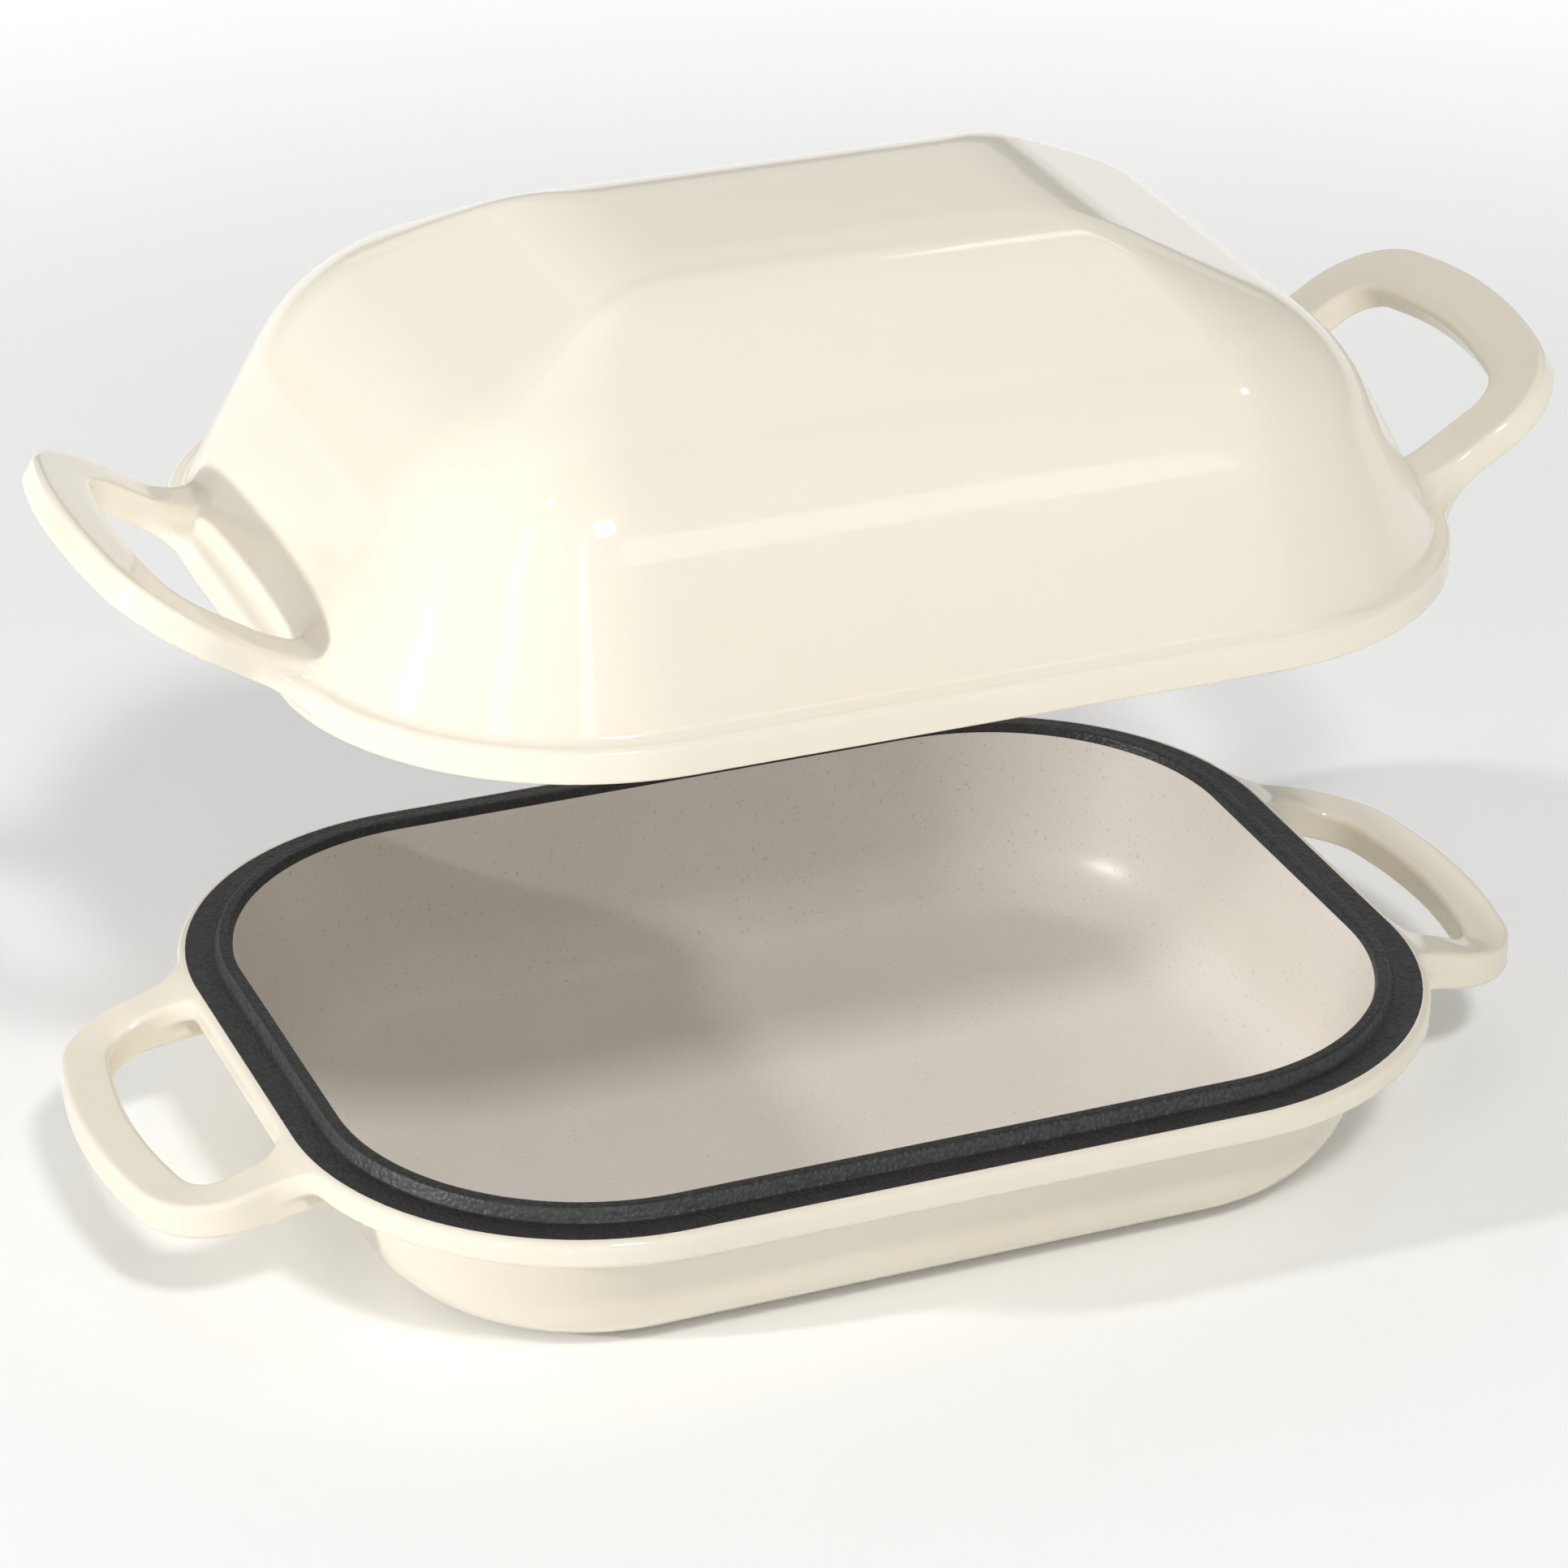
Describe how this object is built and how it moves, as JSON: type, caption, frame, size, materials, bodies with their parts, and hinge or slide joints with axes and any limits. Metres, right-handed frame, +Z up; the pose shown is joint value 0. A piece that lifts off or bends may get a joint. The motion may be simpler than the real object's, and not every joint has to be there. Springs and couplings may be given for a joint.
{
  "type": "enamelled dutch oven",
  "caption": "Oblong enamelled cast-iron baking oven: a shallow base pan with a lipped rim seat and a tall domed lid that lifts off, both with loop handles at the short ends.",
  "frame": {"origin": "centre of the pan's flat underside", "axes": "+X along the length, through both handles; +Y across; +Z up, the way the lid lifts"},
  "size_m": [0.3858, 0.2354, 0.255],
  "materials": {
    "pan_enamel": "gloss cream enamel outside, pale grey enamel inside, matt black enamel on the rim seat and lip",
    "lid_enamel": "gloss cream enamel outside, pale grey enamel inside"
  },
  "bodies": {
    "pan": {"base_pan": "pan_enamel"},
    "lid": {"lid": "lid_enamel"}
  },
  "joints": [
    {"name": "lid_lift", "type": "slide", "parent": "pan", "child": "lid", "axis": [0, 0, 1], "range_m": [-0.1197, 0.05]}
  ]
}
